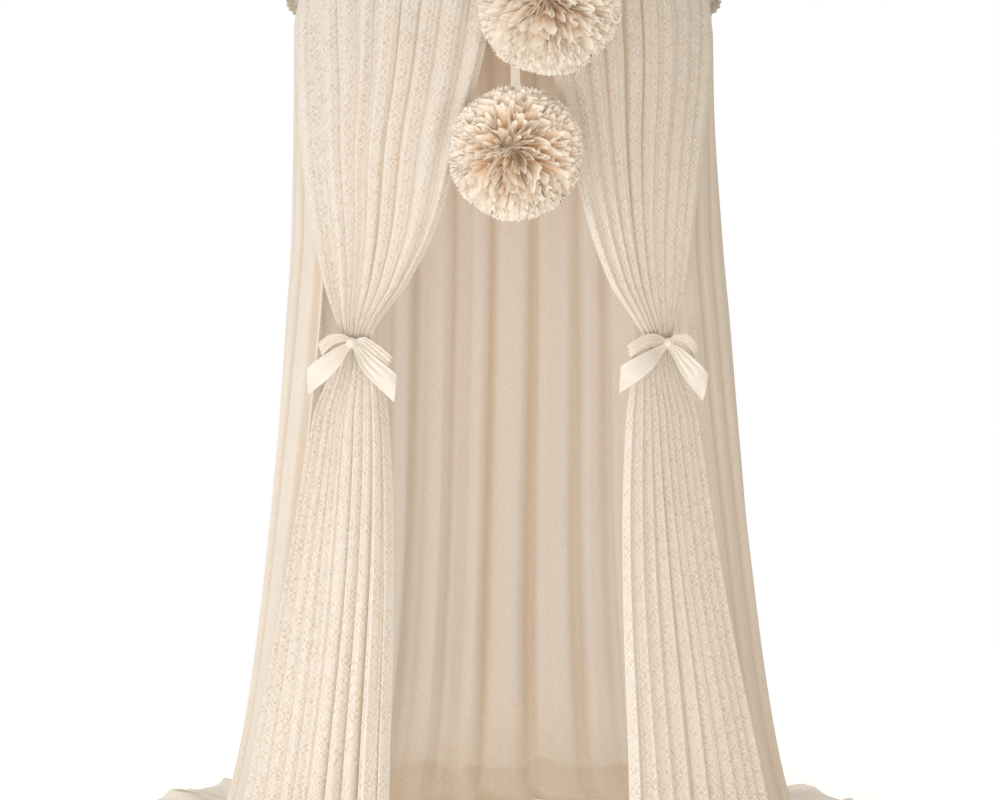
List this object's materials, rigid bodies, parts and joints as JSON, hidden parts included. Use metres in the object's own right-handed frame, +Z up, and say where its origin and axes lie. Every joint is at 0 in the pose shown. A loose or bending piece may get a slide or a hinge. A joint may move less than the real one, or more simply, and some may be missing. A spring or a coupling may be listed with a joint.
{
  "type": "tulle canopy on a hoop",
  "caption": "Sheer lace canopy that hangs from a hook: pointed top over a hoop, long side and back drape, front panels tied back with bows, ruffled cloth balls.",
  "frame": {"origin": "where the hook bears inside the hanging loop, at the top of the canopy", "axes": "+Z up, -Y towards the open front, +X to the right of someone who faces the front"},
  "size_m": [1.9862, 1.7677, 2.4018],
  "materials": {
    "lace": "semi-sheer cream lace tulle with an irregular diamond lattice",
    "top_lace": "semi-sheer cream lace tulle, gathered",
    "satin_ribbon": "cream satin ribbon with a soft sheen",
    "ruffle_cloth": "matt cream ruffled cloth",
    "cotton_tape": "cream cotton tape",
    "hoop_plastic": "off-white plastic rod"
  },
  "bodies": {
    "root": {"hoop": "hoop_plastic", "dome": "top_lace", "crown_binding": "cotton_tape", "hang_loop": "cotton_tape", "back_drape": "lace", "panel_left": "lace", "panel_right": "lace", "tie_left": "satin_ribbon", "tie_right": "satin_ribbon", "pompom_upper": "ruffle_cloth", "pompom_lower": "ruffle_cloth", "pompom_ribbon_upper": "satin_ribbon", "pompom_ribbon_lower": "satin_ribbon"}
  },
  "joints": []
}
